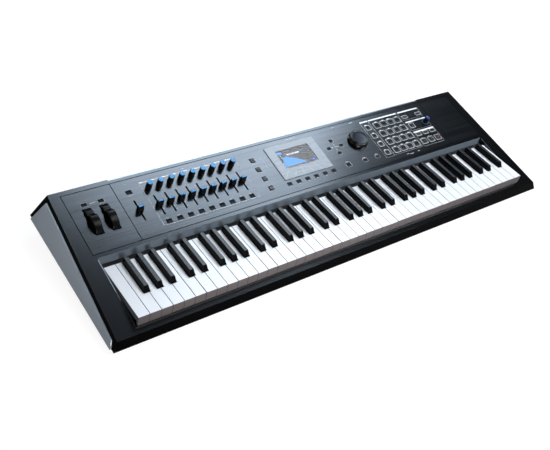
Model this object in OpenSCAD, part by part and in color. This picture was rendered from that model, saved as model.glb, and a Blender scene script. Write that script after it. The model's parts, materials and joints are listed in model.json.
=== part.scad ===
// Stage synthesizer with 76 full-size keys, nine knobs, nine faders, a data dial and a display.
// Units are millimetres, +Z is up and the player sits at -Y.
// Origin: middle of the footprint, on the surface the rubber feet stand on.

/* [Keyboard] */
// Width of one white key including its gap
key_pitch = 23.5; // [22:0.1:24]
// Number of white keys, the lowest being an E
white_count = 45; // [36:1:52]
// Side gap between neighbouring white keys
key_gap = 1; // [0.6:0.1:1.6]
// Length of the playing surface of a white key
key_length = 131; // [120:1:150]
// Depth of the full-width front part of a white key
head_length = 45.4; // [40:0.2:55]
// Thickness of the white key body
key_thick = 13; // [8:0.5:16]
// Height of the white key front skirt
skirt_height = 21; // [14:0.5:24]
// Height of the white key tops above the ground
key_top = 50; // [45:0.5:60]
// Width of a black key at its base
black_base = 12.8; // [11:0.1:14]
// Width of a black key across its top
black_top = 8.4; // [7:0.1:11]
// Height of a black key above the white keys
black_height = 12; // [9:0.5:14]
// Distance of the key pivot behind the key fronts
pivot_back = 176; // [165:1:200]
// Depth of the key pivot below the key tops
pivot_drop = 10; // [8:0.5:14]
// Diameter of the key pivot rod
rod_d = 4; // [3:0.5:6]

/* [Case] */
// Slope of the deck, rising to the rear
deck_slope = 11.16; // [5:0.01:15]
// Height of the deck below the key tops at the key fronts
deck_drop = 19.74; // [15:0.01:25]
// Distance of the deck front edge in front of the key fronts
deck_front = 15.5; // [10:0.5:25]
// Distance of the deck rear edge behind the key fronts
deck_rear = 308; // [280:1:340]
// Full width of the case at its lower edge
case_width = 1168; // [1100:1:1200]
// Outward lean of the side walls
side_lean = 25.5; // [5:0.5:35]
// Outward lean of the front wall
front_lean = 19.5; // [5:0.5:30]
// Height of the front wall
front_height = 18.6; // [12:0.2:30]
// Outward lean of the rear wall
rear_lean = 15.9; // [5:0.1:25]
// Slope of the lower edge of the case, rising to the rear
band_slope = 4.74; // [0:0.01:8]
// Case wall thickness
wall = 3.5; // [2.5:0.1:5]
// Half width of the keyboard opening
well_half = 531.5; // [530:0.5:540]
// Distance of the fascia top edge behind the key fronts
fascia_back = 149.2; // [145:0.2:160]
// Thickness of the metal side plates
plate_thick = 3; // [2:0.5:5]
// Drop of the side plate top edge below the deck
plate_drop = 7.5; // [4:0.5:15]
// Sheet thickness of the bottom pan
pan_sheet = 1.5; // [1:0.1:2.5]
// Height of the rubber feet
foot_height = 5; // [3:0.5:10]

/* [Panels] */
// Distance up the deck of the panel front edge
panel_front = 160.3; // [155:0.1:170]
// Distance up the deck of the panel rear edge
panel_rear = 303; // [290:0.1:310]
// Half width of the panel recess
panel_half = 536.6; // [520:0.1:545]
// Position of the groove beside the wheel panel
groove_left = -435; // [-450:0.5:-420]
// Position of the groove beside the right panel
groove_right = 433.5; // [420:0.5:450]
// Width of the visible grooves between the panels
groove = 0.8; // [0.4:0.1:1.5]
// Thickness of the panel sheets
panel_thick = 1.6; // [1:0.1:2.5]

/* [Wheels] */
// Radius of the pitch and modulation wheels
wheel_r = 36; // [30:0.5:40]
// Thickness of the wheels
wheel_w = 15.6; // [12:0.2:18]
// Depth of the wheel axle below the panel
wheel_depth = 20.6; // [16:0.2:28]
// Cross position of the pitch wheel
pitch_x = -502.7; // [-515:0.1:-495]
// Cross position of the modulation wheel
mod_x = -467.9; // [-475:0.1:-455]
// Middle of the wheel slots up the deck
wheel_v = 229.8; // [220:0.1:240]
// Length of the wheel slots
wheel_slot = 61.8; // [55:0.2:70]

/* [Knobs and faders] */
// Spacing of the nine knobs, faders and buttons
strip_pitch = 24.85; // [20:0.05:28]
// Cross position of the first of the nine columns
strip_x = -363.9; // [-380:0.1:-350]
// Distance up the deck of the knob row
knob_v = 271.5; // [265:0.5:280]
// Diameter of a knob at its base
knob_base = 13.6; // [11:0.1:16]
// Diameter of a knob at its top
knob_top = 12; // [10:0.1:15]
// Height of a knob
knob_h = 17; // [12:0.5:20]
// Cross position of the level fader
master_x = -407.5; // [-415:0.5:-400]
// Middle of the fader slots up the deck
fader_v = 225; // [215:0.5:235]
// Length of the fader slots
fader_slot = 49; // [40:0.5:60]
// Height of a fader cap above the panel
fader_h = 15.4; // [10:0.2:18]
// Width of a fader cap
fader_w = 12; // [9:0.5:14]
// Distance up the deck of the button row under the faders
strip_button_v = 183.4; // [178:0.2:188]
// Diameter of the data dial skirt
dial_d = 50; // [40:0.5:60]
// Height of the data dial
dial_h = 13.5; // [10:0.5:18]
// Cross position of the data dial
dial_x = 178; // [170:0.5:190]
// Distance up the deck of the data dial
dial_v = 243; // [235:0.5:255]

/* [Buttons and display] */
// Height of the buttons above the panel
button_h = 1.3; // [0.8:0.1:2.5]
// Side clearance of every button in its hole
button_gap = 0.3; // [0.2:0.05:0.6]
// Spacing of the keypad columns
keypad_dx = 22.85; // [20:0.05:25]
// Spacing of the keypad rows
keypad_dv = 26.9; // [22:0.1:30]
// Width of a keypad button
keypad_w = 15; // [12:0.5:18]
// Depth of a keypad button
keypad_l = 14; // [11:0.5:17]
// Width of the display frame
bezel_w = 138; // [120:1:160]
// Depth of the display frame
bezel_l = 93; // [80:1:110]
// Width of the display window
lcd_w = 92; // [80:1:110]
// Depth of the display window
lcd_l = 50.5; // [40:0.5:60]

/* [Hidden] */
$fn = 48;
eps = 0.01;
foot_z = -key_top;
pan_z = foot_z + foot_height;
white_w = key_pitch - key_gap;
chassis_z = -36;
chassis_half = 529;
keys_left = -white_count * key_pitch / 2;
cut_half = black_base / 2 + 0.9;
deck_top_z = -deck_drop - deck_front * tan(deck_slope);
front_y = -deck_front - front_height * tan(front_lean);
front_z = deck_top_z - front_height;
rear_z = -deck_drop + deck_rear * tan(deck_slope);
rear_run = (rear_z - front_z - (deck_rear - front_y) * tan(band_slope))
         / (1 + tan(rear_lean) * tan(band_slope));
rear_y = deck_rear + rear_run * tan(rear_lean);
rear_bottom_z = rear_z - rear_run;
y_mid = (front_y + rear_y) / 2;
side_run = tan(side_lean) / cos(band_slope);
case_half = case_width / 2;
fascia_top_z = -deck_drop + fascia_back * tan(deck_slope);
fascia_low_y = fascia_back - 5.2;
fascia_low_z = fascia_top_z - 13.8;
wheel_chord = wheel_slot / 2;
board_w = -12;
board_thick = 1.6;
columns = [for (i = [0 : 8]) strip_x + i * strip_pitch];
rows4 = [for (j = [0 : 3]) 270.2 - j * keypad_dv];
keypad_x0 = 263.2;
side_column_x = 233.4;
right_x = [360, 384, 408];
tempo_x = 407.5;
tempo_v = 242.5;
cursor_c = [108.7, 243.3];
cursor_r = 18.6;
bezel_c = [-1, 241.5];
lcd_c = [-2.5, 247.2];
mode_v = [for (j = [0 : 3]) 266.6 - j * 26.3];
soft_x = [for (i = [0 : 5]) -64.4 + i * 25.1];
black_off = [-2.7, 2.7, 0, -3.7, 0, 4, 0];
jack_x = [-330, -300, -240, -210, -150, -120];
midi_x = [-40, -5];
screw_x = [-480, -240, 0, 240, 480];
screw_v = [11, 334];
usb_x = 80.2;
usb_plate = 38;
inlet_x = 245;
switch_x = 300;
socket_z = 28;

// Moves geometry drawn around the key fronts into the shared frame.
module place() translate([0, -y_mid, key_top]) children();
// Deck surface frame: x across, y up the slope from the key fronts, z out of the deck.
module on_deck() translate([0, 0, -deck_drop]) rotate([deck_slope, 0, 0]) children();
// Lower edge frame of the case.
module on_band() translate([0, front_y, front_z]) rotate([band_slope, 0, 0]) children();
module on_front() translate([0, front_y, front_z]) rotate([-front_lean, 0, 0]) children();
module on_rear() translate([0, rear_y, rear_bottom_z]) rotate([rear_lean, 0, 0]) children();

function band_z(y) = front_z + (y - front_y) * tan(band_slope);
function class_of(i) = (i + 2) % 7;
function has_black(i) = i > 0 && i < white_count
  && class_of(i - 1) != 2 && class_of(i - 1) != 6;

// Prism along X from a side outline given as [y, z] points.
module side_prism(half, points)
  translate([-half, 0, 0])
    rotate([90, 0, 90])
      linear_extrude(2 * half) polygon(points);

// Trapezoid prism bounded by the two leaning side walls.
module side_limits(out) {
  low = case_half + out;
  top = 130;
  on_band()
    translate([0, 420, 0])
      rotate([90, 0, 0])
        linear_extrude(460)
          polygon([[-low - 40 * side_run, -40], [low + 40 * side_run, -40],
                   [low - top * side_run, top], [-low + top * side_run, top]]);
}

// Closed case volume, set in by a wall thickness on every face.
module body(inset) intersection() {
  side_limits(-inset / cos(side_lean));
  on_deck() translate([-700, -200, -300 - inset]) cube([1400, 700, 300]);
  on_band() translate([-700, -100, inset]) cube([1400, 600, 300]);
  on_front() translate([-700, inset, -100]) cube([1400, 600, 400]);
  on_rear() translate([-700, -600 - inset, -200]) cube([1400, 600, 500]);
}

// ---- keyboard ----

module white_key(i) {
  left = keys_left + i * key_pitch + key_gap / 2;
  lc = has_black(i) ? cut_half + black_off[class_of(i - 1)] - key_gap / 2 : 0;
  rc = has_black(i + 1) ? cut_half - black_off[class_of(i)] - key_gap / 2 : 0;
  tail = white_w - lc - rc;
  difference() {
    union() {
      translate([left, 0, -key_thick]) cube([white_w, head_length, key_thick]);
      translate([left, 0, -skirt_height]) cube([white_w, 4, skirt_height]);
      translate([left + lc, head_length - 1, -key_thick])
        cube([tail, key_length - head_length + 1, key_thick]);
      translate([left + lc + tail / 2 - 4.5, key_length - 8, -pivot_drop - 5])
        cube([9, pivot_back - key_length + 14, 8.5]);
    }
    translate([left - 1, pivot_back, -pivot_drop])
      rotate([0, 90, 0]) cylinder(d = rod_d + 0.6, h = white_w + 2);
  }
}

module black_key(i) {
  mid = keys_left + i * key_pitch + black_off[class_of(i - 1)];
  slant = (black_base - black_top) / 2;
  difference() {
    union() {
      intersection() {
        translate([mid, key_length, 0])
          rotate([90, 0, 0])
            linear_extrude(key_length - 40)
              polygon([[-black_base / 2, -key_thick + 2], [black_base / 2, -key_thick + 2],
                       [black_base / 2, 0], [black_base / 2 - slant, black_height],
                       [-black_base / 2 + slant, black_height], [-black_base / 2, 0]]);
        translate([mid, 0, 0])
          side_prism(10, [[head_length + 0.9, -key_thick], [head_length + 0.9, 0],
                          [head_length + 7.4, black_height + 1],
                          [key_length - 1, black_height + 1], [key_length - 1, -key_thick]]);
      }
      translate([mid - 4, key_length - 12, -pivot_drop - 5])
        cube([8, pivot_back - key_length + 18, 8.5]);
    }
    translate([mid - 6, pivot_back, -pivot_drop])
      rotate([0, 90, 0]) cylinder(d = rod_d + 0.6, h = 12);
  }
}

module white_set(c) color([0.93, 0.94, 0.95]) place()
  for (i = [0 : white_count - 1]) if (class_of(i) == c) white_key(i);
module black_set(c) color([0.05, 0.05, 0.06]) place()
  for (i = [1 : white_count - 1]) if (has_black(i) && class_of(i - 1) == c) black_key(i);

module keys_c() white_set(0);
module keys_c_sharp() black_set(0);
module keys_d() white_set(1);
module keys_d_sharp() black_set(1);
module keys_e() white_set(2);
module keys_f() white_set(3);
module keys_f_sharp() black_set(3);
module keys_g() white_set(4);
module keys_g_sharp() black_set(4);
module keys_a() white_set(5);
module keys_a_sharp() black_set(5);
module keys_b() white_set(6);

// Pressed-steel chassis with the pivot rod along its rear.
module key_frame() color([0.55, 0.56, 0.58]) place() {
  span = 2 * chassis_half;
  translate([-chassis_half, 4, chassis_z]) cube([span, 182, 2]);
  translate([-chassis_half, 184, chassis_z]) cube([span, 2, 30]);
  for (x = [-chassis_half, chassis_half - 2])
    translate([x, pivot_back - 6, chassis_z]) cube([2, 16, 32]);
  for (i = [5 : 7 : 40])
    translate([keys_left + i * key_pitch - 0.75, pivot_back - 5, chassis_z]) cube([1.5, 14, 31]);
  translate([-chassis_half, pivot_back, -pivot_drop])
    rotate([0, 90, 0]) cylinder(d = rod_d, h = span);
  for (x = [-500 : 250 : 500], y = [20, 160])
    translate([x - 8, y - 6, pan_z + pan_sheet]) cube([16, 12, chassis_z - pan_z - pan_sheet]);
}

// Stop felt under the key fronts and the dark strip hiding the key tails.
module key_felts() color([0.06, 0.06, 0.06]) place() {
  translate([-chassis_half + 2, 6, chassis_z + 2]) cube([2 * chassis_half - 4, 16, 1.8]);
  translate([-well_half, key_length + 1.4, fascia_low_z - 1.6])
    cube([2 * well_half, fascia_low_y + 2 - key_length - 1.4, 1.6]);
}

// ---- wheels ----

module wheel_at(x) {
  on_deck() translate([x, wheel_v, -wheel_depth]) difference() {
    rotate([0, 90, 0]) cylinder(r = wheel_r, h = wheel_w, center = true, $fn = 96);
    rotate([0, 90, 0]) cylinder(d = 6.6, h = wheel_w + 2, center = true);
    rotate([-24, 0, 0]) translate([0, 0, wheel_r + 4.4])
      rotate([0, 90, 0]) cylinder(r = 9, h = wheel_w + 2, center = true);
  }
}
module pitch_wheel() color([0.06, 0.06, 0.07]) place() wheel_at(pitch_x);
module mod_wheel() color([0.06, 0.06, 0.07]) place() wheel_at(mod_x);

module wheel_bracket() color([0.5, 0.51, 0.53]) place() {
  axle_y = wheel_v * cos(deck_slope) + wheel_depth * sin(deck_slope);
  axle_z = -deck_drop + wheel_v * sin(deck_slope) - wheel_depth * cos(deck_slope);
  floor_z = pan_z + pan_sheet;
  translate([-520, axle_y - 16, floor_z]) cube([72, 32, 2]);
  for (x = [-516, (pitch_x + mod_x) / 2, -455])
    translate([x - 1.5, axle_y - 8, floor_z]) cube([3, 16, axle_z + 7 - floor_z]);
  translate([-516, axle_y, axle_z]) rotate([0, 90, 0]) cylinder(d = 6, h = 61);
}

// ---- faders and knobs ----

module fader_at(x) on_deck() translate([x, fader_v, 0]) {
  side_prism(fader_w / 2, [[-5, 1.2], [5, 1.2], [4, 6], [2.1, fader_h], [-2.1, fader_h], [-4, 6]]);
  translate([-0.8, -3, -9]) cube([1.6, 6, 10.4]);
}
module one_fader(i) color([0.06, 0.06, 0.07]) place() fader_at(columns[i - 1]);
module master_fader() color([0.06, 0.06, 0.07]) place() fader_at(master_x);
module fader_1() one_fader(1);
module fader_2() one_fader(2);
module fader_3() one_fader(3);
module fader_4() one_fader(4);
module fader_5() one_fader(5);
module fader_6() one_fader(6);
module fader_7() one_fader(7);
module fader_8() one_fader(8);
module fader_9() one_fader(9);

module knob_at(x, v, h) on_deck() translate([x, v, 0]) {
  difference() {
    translate([0, 0, 0.8]) cylinder(d1 = knob_base, d2 = knob_top, h = h - 0.8);
    translate([-0.5, knob_top / 2 - 1.4, h - 4]) cube([1, 4, 6]);
  }
  translate([0, 0, -9.5]) cylinder(d = 6, h = 11);
}
module one_knob(i) color([0.06, 0.06, 0.07]) place() knob_at(columns[i - 1], knob_v, knob_h);
module knob_1() one_knob(1);
module knob_2() one_knob(2);
module knob_3() one_knob(3);
module knob_4() one_knob(4);
module knob_5() one_knob(5);
module knob_6() one_knob(6);
module knob_7() one_knob(7);
module knob_8() one_knob(8);
module knob_9() one_knob(9);
module tempo_knob() color([0.06, 0.06, 0.07]) place() knob_at(tempo_x, tempo_v, knob_h - 1);

// Large dial with a stepped skirt, a raised rim and a dished top.
module data_dial() color([0.08, 0.08, 0.09]) place() on_deck() translate([dial_x, dial_v, 0]) {
  r = dial_d / 2;
  rotate_extrude($fn = 96)
    polygon([[0, 0.8], [r, 0.8], [r, 4.2], [r - 1.6, 5.4], [r - 3.2, dial_h - 1.2],
             [r - 4.2, dial_h], [r - 7.4, dial_h], [r - 8.4, dial_h - 0.9], [0, dial_h - 1.6]]);
  translate([0, 0, -9.5]) cylinder(d = 8, h = 11);
}

// ---- buttons ----

module button_at(x, v, w, l) translate([x, v, 0]) {
  translate([-w / 2, -l / 2, -2]) cube([w, l, 2 + button_h]);
  translate([-w / 2 - 0.9, -l / 2 - 0.9, -4]) cube([w + 1.8, l + 1.8, 2.05]);
  translate([-1.5, -1.5, -7.6]) cube([3, 3, 3.8]);
}

// Every button position as [x, v, width, depth], one list for each moving group.
control_set = concat(
  [[pitch_x, 270.9, 10, 5.6], [mod_x, 270.9, 10, 5.6], [master_x, 271.9, 11.4, 8]],
  [for (x = columns) [x, strip_button_v, 11.4, 8]]);
screen_set = concat(
  [for (v = mode_v) [-112.5, v, 11, 11]],
  [for (x = soft_x) [x, 184.2, 10.5, 7]],
  [for (a = [0 : 90 : 270])
    [cursor_c[0] + cursor_r * cos(a), cursor_c[1] + cursor_r * sin(a), 9, 6.6]],
  [[108.9, 188, 11, 10], [159.3, 186.6, 11, 7], [198.8, 186.6, 11, 7]]);
keypad_set = concat(
  [for (v = rows4) [side_column_x, v, keypad_w - 4, keypad_l - 3]],
  [for (i = [0 : 3], v = rows4) [keypad_x0 + i * keypad_dx, v, keypad_w, keypad_l]],
  [for (x = [right_x[0], 406.5]) [x, 272.4, 14, 6]],
  [[361, 243.2, 13, 12]],
  [for (x = right_x) [x, 213.8, 13, 7.4]],
  [for (x = right_x) [x, 190, 14, 13]]);

module buttons(set) on_deck() for (b = set) button_at(b[0], b[1], b[2], b[3]);
module control_buttons() color([0.2, 0.22, 0.24]) place() buttons(control_set);
module screen_buttons() color([0.15, 0.16, 0.18]) place() buttons(screen_set);
module keypad_buttons() color([0.12, 0.13, 0.15]) place() buttons(keypad_set);
module button_holes(set) for (b = set)
  translate([b[0] - b[2] / 2 - button_gap, b[1] - b[3] / 2 - button_gap, -5])
    cube([b[2] + 2 * button_gap, b[3] + 2 * button_gap, 10]);

// ---- panels and display ----

module sheet(x0, x1)
  translate([x0, panel_front + groove / 2, -panel_thick])
    cube([x1 - x0, panel_rear - panel_front - groove, panel_thick]);

module wheel_panel() color([0.35, 0.37, 0.4]) place() on_deck() difference() {
  sheet(-panel_half + groove / 2, groove_left - groove / 2);
  for (x = [pitch_x, mod_x])
    translate([x - 8.6, wheel_v - wheel_chord, -5]) cube([17.2, wheel_slot, 10]);
  button_holes([control_set[0], control_set[1]]);
}

module main_panel() color([0.45, 0.48, 0.51]) place() on_deck() difference() {
  sheet(groove_left + groove / 2, groove_right - groove / 2);
  for (x = concat([master_x], columns))
    translate([x - 1.2, fader_v - fader_slot / 2, -5]) cube([2.4, fader_slot, 10]);
  for (x = columns) translate([x, knob_v, -5]) cylinder(d = 7, h = 10);
  translate([tempo_x, tempo_v, -5]) cylinder(d = 7, h = 10);
  translate([dial_x, dial_v, -5]) cylinder(d = 9, h = 10);
  button_holes([for (i = [2 : len(control_set) - 1]) control_set[i]]);
  button_holes(screen_set);
  button_holes(keypad_set);
  translate([lcd_c[0] - lcd_w / 2 - 1, lcd_c[1] - lcd_l / 2 - 1, -5])
    cube([lcd_w + 2, lcd_l + 2, 10]);
}

module right_panel() color([0.1, 0.11, 0.12]) place() on_deck()
  sheet(groove_right + groove / 2, panel_half - groove / 2);

// Raised frame with a bevelled inner opening.
module display_bezel() color([0.6, 0.66, 0.72]) place() on_deck() difference() {
  translate([bezel_c[0] - bezel_w / 2, bezel_c[1] - bezel_l / 2, 0]) cube([bezel_w, bezel_l, 1.8]);
  translate([lcd_c[0] - lcd_w / 2, lcd_c[1] - lcd_l / 2, -1]) cube([lcd_w, lcd_l, 6]);
  translate([lcd_c[0] - lcd_w / 2 - 1.2, lcd_c[1] - lcd_l / 2 - 1.2, -0.5])
    cube([lcd_w + 2.4, lcd_l + 2.4, 1.2]);
}
module display_window() color([0.3, 0.35, 0.4]) place() on_deck()
  translate([lcd_c[0] - lcd_w / 2 - 1, lcd_c[1] - lcd_l / 2 - 1, -0.5])
    cube([lcd_w + 2, lcd_l + 2, 1.1]);
module lcd_module() color([0.45, 0.42, 0.38]) place() on_deck() {
  translate([lcd_c[0] - lcd_w / 2 - 0.9, lcd_c[1] - lcd_l / 2 - 0.9, -4])
    cube([lcd_w + 1.8, lcd_l + 1.8, 3.5]);
  translate([lcd_c[0] - lcd_w / 2 - 5, lcd_c[1] - lcd_l / 2 - 5, -7])
    cube([lcd_w + 10, lcd_l + 10, 3.2]);
  for (dx = [-40, 40], dv = [-18, 18])
    translate([lcd_c[0] + dx, lcd_c[1] + dv, board_w]) cylinder(d = 5, h = -board_w - 6.9);
}

// Circuit board under the panel with its pots, fader bodies, key switches and pillars.
module panel_board() color([0.05, 0.22, 0.12]) place() on_deck() {
  translate([-424, 170, board_w - board_thick]) cube([846, 124, board_thick]);
  for (x = columns) translate([x - 5, knob_v - 5, board_w - eps]) cube([10, 10, 2]);
  translate([tempo_x - 5, tempo_v - 5, board_w - eps]) cube([10, 10, 2]);
  translate([dial_x - 7, dial_v - 7, board_w - eps]) cube([14, 14, 2]);
  for (x = concat([master_x], columns))
    translate([x - 4.5, fader_v - 30, board_w - eps]) cube([9, 60, 2.4]);
  for (b = concat([for (i = [2 : len(control_set) - 1]) control_set[i]],
                  screen_set, keypad_set))
    translate([b[0] - 3, b[1] - 3, board_w - eps]) cube([6, 6, 3]);
  for (x = [-420, -130, 140, 420], v = [175, 291])
    translate([x, v, board_w - eps]) cylinder(d = 5, h = -board_w - panel_thick + eps);
}

// ---- case ----

well_points = [[-2, -60], [-2, 80],
               [fascia_back + (80 - fascia_top_z) * 5.2 / 13.8, 80],
               [fascia_low_y, fascia_low_z], [fascia_low_y, -60]];
lining_points = [[-5, -28], [fascia_low_y - 4, -28], [fascia_low_y - 4, fascia_low_z],
                 [fascia_low_y + 3.3, fascia_low_z],
                 [fascia_back + 3.3 + (80 - fascia_top_z) * 5.2 / 13.8, 80], [-5, 80]];

module upper_case() color([0.13, 0.14, 0.15]) place() difference() {
  union() {
    difference() {
      body(0);
      body(wall);
      on_band() translate([-560, 14, -20]) cube([1120, 309, 20 + wall + 1]);
    }
    intersection() {
      body(0.5);
      side_prism(well_half + 3, lining_points);
    }
  }
  side_prism(well_half, well_points);
  on_deck() {
    translate([-panel_half - groove / 2, panel_front - groove / 2, -panel_thick])
      cube([2 * panel_half + groove, panel_rear - panel_front + groove, 10]);
    translate([-528, 166, -20]) cube([86, 131, 30]);
    translate([-428, 166, -20]) cube([855, 131, 30]);
    translate([-434, 310.5, -1.6]) cube([868, 20, 10]);
    translate([-700, -deck_front / cos(deck_slope) - 20, -1.5]) rotate([22, 0, 0])
      cube([1400, 20, 20]);
  }
  on_rear() translate([-430, -20, 8]) cube([860, 40, 40]);
  on_band() for (x = screw_x, v = screw_v)
    translate([x, v, -1]) cylinder(d = 3, h = 6);
}

// Tray with an outer flange screwed to the lower edge of the case.
module bottom_pan() color([0.1, 0.1, 0.11]) place() {
  y0 = -7;
  y1 = 299;
  half = 558;
  difference() {
    union() {
      side_prism(half, [[y0, pan_z], [y1, pan_z], [y1, band_z(y1)], [y0, band_z(y0)]]);
      on_band() translate([-half - 14, 8, -pan_sheet]) cube([2 * half + 28, 331, pan_sheet]);
    }
    side_prism(half - pan_sheet, [[y0 + pan_sheet, pan_z + pan_sheet],
      [y1 - pan_sheet, pan_z + pan_sheet], [y1 - pan_sheet, 20], [y0 + pan_sheet, 20]]);
    on_band() for (x = screw_x, v = screw_v)
      translate([x, v, -10]) cylinder(d = 3.4, h = 20);
  }
}

// Brushed metal plates standing proud of the leaning side walls.
module side_plates() color([0.6, 0.63, 0.67]) place() intersection() {
  front = -12.6;
  top = -deck_drop - plate_drop;
  difference() {
    side_limits(plate_thick / cos(side_lean));
    side_limits(0);
  }
  side_prism(700, [[front, band_z(front)], [314.5, band_z(314.5)],
    [298, top + 298 * tan(deck_slope)], [-4, top - 4 * tan(deck_slope)],
    [-9.5, top - 8], [front, band_z(front) + 3]]);
}

module rear_panel() color([0.12, 0.12, 0.13]) place() on_rear() difference() {
  translate([-436, -wall - 1.5, 5]) cube([872, 1.5, 46]);
  translate([usb_x - usb_plate / 2 - 0.1, -20, 0]) cube([usb_plate + 0.2, 40, 60]);
  for (x = concat(jack_x, [inlet_x]))
    translate([x, 0, socket_z]) rotate([90, 0, 0]) cylinder(d = 11.4, h = 20);
  for (x = midi_x) translate([x, 0, socket_z]) rotate([90, 0, 0]) cylinder(d = 15.4, h = 20);
  translate([switch_x - 12, -10, socket_z - 8]) cube([24, 12, 16]);
}

// Computer socket with its own faceplate, set between the two halves of the rear panel.
module computer_socket() color([0.1, 0.1, 0.11]) place() on_rear() difference() {
  union() {
    translate([usb_x - usb_plate / 2, -wall - 1.5, 5]) cube([usb_plate, 1.5, 46]);
    translate([usb_x - 6, -wall - 14, 22.2]) cube([12, 13, 11]);
  }
  translate([usb_x - 4.5, -wall - 10, 23.7]) cube([9, 20, 8]);
}

// Jack sockets, each with a collar that fills its hole in the rear panel.
module jack_sockets() color([0.08, 0.08, 0.09]) place() on_rear()
  for (x = jack_x) translate([x, 0, socket_z]) difference() {
    union() {
      rotate([90, 0, 0]) cylinder(d = 11, h = wall + 3);
      translate([-7.5, -26, -7.5]) cube([15, 26 - wall - 1.5, 15]);
    }
    translate([0, 1, 0]) rotate([90, 0, 0]) cylinder(d = 6.5, h = 25);
  }

// Socket with five pin holes inside a keyed ring.
module five_pin_socket() difference() {
  union() {
    rotate([90, 0, 0]) cylinder(d = 15, h = wall + 3);
    translate([-10, -18, -10]) cube([20, 18 - wall - 1.5, 20]);
  }
  difference() {
    translate([0, 1, 0]) rotate([90, 0, 0]) cylinder(d = 12.6, h = 9);
    translate([0, -2, 0]) rotate([90, 0, 0]) cylinder(d = 9.4, h = 9);
  }
  for (a = [0 : 45 : 180])
    translate([3.4 * cos(a), 1, -3.4 * sin(a)]) rotate([90, 0, 0]) cylinder(d = 1.5, h = 9);
}

// Power inlet with a pin in the middle of its bore.
module power_inlet() difference() {
  union() {
    rotate([90, 0, 0]) cylinder(d = 11, h = wall + 3);
    translate([-7, -16, -7]) cube([14, 16 - wall - 1.5, 14]);
  }
  difference() {
    translate([0, 1, 0]) rotate([90, 0, 0]) cylinder(d = 6.4, h = 12);
    translate([0, 2, 0]) rotate([90, 0, 0]) cylinder(d = 2, h = 14);
  }
}

module round_sockets() color([0.08, 0.08, 0.09]) place() on_rear() {
  for (x = midi_x) translate([x, 0, socket_z]) five_pin_socket();
  translate([inlet_x, 0, socket_z]) power_inlet();
}

// Open box that carries the rocker's cross pin.
module switch_housing() color([0.08, 0.08, 0.09]) place() on_rear()
  translate([switch_x - 11.8, -wall - 14, socket_z - 7.8]) difference() {
    cube([23.6, wall + 13, 15.6]);
    translate([1.4, 4, 1.4]) cube([20.8, 20, 12.8]);
    translate([0, wall + 10.5, 7.8]) rotate([0, 90, 0])
      cylinder(d = 2.8, h = 60, center = true);
  }

// Rocker on a cross pin inside the switch housing.
module power_switch() color([0.05, 0.05, 0.05]) place() on_rear()
  translate([switch_x, -3.5, socket_z]) rotate([-8, 0, 0]) rotate([0, 90, 0]) {
    difference() {
      translate([-5.4, -4, -10]) cube([10.8, 5.6, 20]);
      translate([0, 8.8, 0]) cylinder(r = 8, h = 30, center = true);
    }
    cylinder(d = 2.4, h = 23, center = true);
  }

module main_board() color([0.05, 0.22, 0.12]) place() {
  z = pan_z + pan_sheet;
  translate([-210, 205, z + 5]) cube([420, 80, 1.6]);
  for (x = [-200, 0, 200], y = [212, 278])
    translate([x, y, z]) cylinder(d = 6, h = 5.1);
  for (x = [-150, -60, 40]) translate([x, 225, z + 6.5]) cube([28, 28, 3]);
  translate([120, 220, z + 6.5]) cube([50, 40, 12]);
}

// Cross-head screws up through the pan flange.
module case_screws() color([0.2, 0.2, 0.21]) place() on_band()
  for (x = screw_x, v = screw_v) translate([x, v, 0]) difference() {
    union() {
      translate([0, 0, -pan_sheet - 1.8]) cylinder(d = 6, h = 1.8);
      translate([0, 0, -pan_sheet - 0.1]) cylinder(d = 3, h = pan_sheet + 3.1);
    }
    for (a = [0, 90]) rotate([0, 0, a]) translate([-1.5, -0.3, -pan_sheet - 2.8])
      cube([3, 0.6, 1.8]);
  }

module feet() color([0.07, 0.07, 0.07]) place()
  for (x = [-500, 500], y = [25, 270])
    translate([x, y, foot_z]) cylinder(d1 = 18, d2 = 20, h = foot_height);

keys_c();
keys_c_sharp();
keys_d();
keys_d_sharp();
keys_e();
keys_f();
keys_f_sharp();
keys_g();
keys_g_sharp();
keys_a();
keys_a_sharp();
keys_b();
pitch_wheel();
mod_wheel();
master_fader();
fader_1();
fader_2();
fader_3();
fader_4();
fader_5();
fader_6();
fader_7();
fader_8();
fader_9();
knob_1();
knob_2();
knob_3();
knob_4();
knob_5();
knob_6();
knob_7();
knob_8();
knob_9();
tempo_knob();
data_dial();
control_buttons();
screen_buttons();
keypad_buttons();
power_switch();
upper_case();
bottom_pan();
side_plates();
wheel_panel();
main_panel();
right_panel();
display_bezel();
display_window();
lcd_module();
rear_panel();
jack_sockets();
round_sockets();
computer_socket();
switch_housing();
key_frame();
key_felts();
wheel_bracket();
panel_board();
main_board();
case_screws();
feet();
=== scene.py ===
"""Looks of the stage synthesizer.

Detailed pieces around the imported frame, materials, studio and camera.
"""

import json
import math

import bmesh
import bpy
from mathutils import Matrix, Quaternion, Vector


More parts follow.
